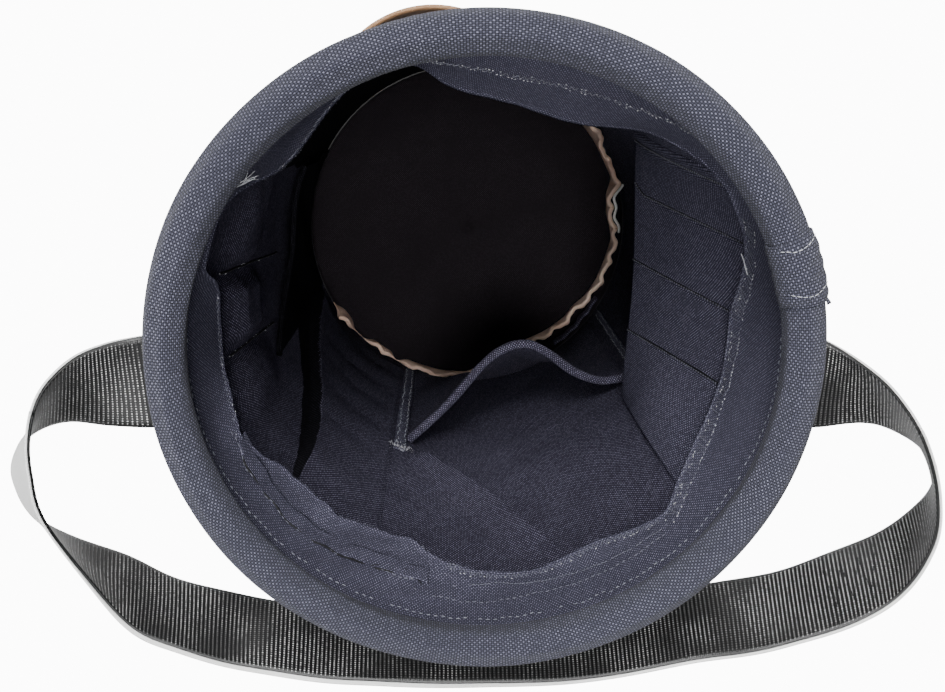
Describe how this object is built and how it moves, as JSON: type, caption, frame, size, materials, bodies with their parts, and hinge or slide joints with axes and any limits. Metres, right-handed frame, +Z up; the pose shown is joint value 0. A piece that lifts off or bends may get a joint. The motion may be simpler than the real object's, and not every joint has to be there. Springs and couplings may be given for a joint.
{
  "type": "tool bucket organizer",
  "caption": "Round canvas tool bucket with a rolled hoop rim, leather base, inner and outer pockets, a leather tool loop and a swinging webbing handle.",
  "frame": {"origin": "centre of the base's underside", "axes": "+Z up out of the mouth; -Y is the front, where the handle hangs; the handle's sewn ends are at -X and +X"},
  "size_m": [0.5031, 0.3441, 0.4338],
  "materials": {
    "rim_canvas": "heavy woven canvas",
    "canvas": "woven canvas",
    "floor_lining": "matt",
    "leather": "natural tan",
    "webbing": "ribbed nylon",
    "backing": "plain pale tape",
    "plastic": "matt",
    "rivet_steel": "satin"
  },
  "bodies": {
    "bucket": {"rim_hoop": "plastic", "rim_sleeve": "rim_canvas", "rim_sleeve_lap": "rim_canvas", "outer_wall": "canvas", "wall_seam_tape": "canvas", "inner_facing": "canvas", "leather_boot": "leather", "floor_board": "plastic", "floor_lining": "floor_lining", "leather_seam_edge": "leather", "front_pocket": "canvas", "front_pocket_hem": "canvas", "left_pocket": "canvas", "left_pocket_hem": "canvas", "right_panel": "canvas", "left_lining_panel": "canvas", "seam_binding_front": "canvas", "seam_binding_right": "canvas", "seam_binding_base": "canvas", "outer_pockets_right": "canvas", "outer_pockets_left": "canvas", "outer_pockets_front": "canvas", "leather_tool_loop": "leather", "loop_rivet_a": "rivet_steel", "loop_rivet_b": "rivet_steel", "handle_end_left": "webbing", "handle_end_right": "webbing"},
    "handle": {"handle_webbing": "webbing", "handle_backing": "backing"}
  },
  "joints": [
    {"name": "handle_swing", "type": "hinge", "parent": "bucket", "child": "handle", "pos_m": [0, -0.02, 0.377], "axis": [-1, 0, 0], "range_deg": [0, 150]}
  ]
}
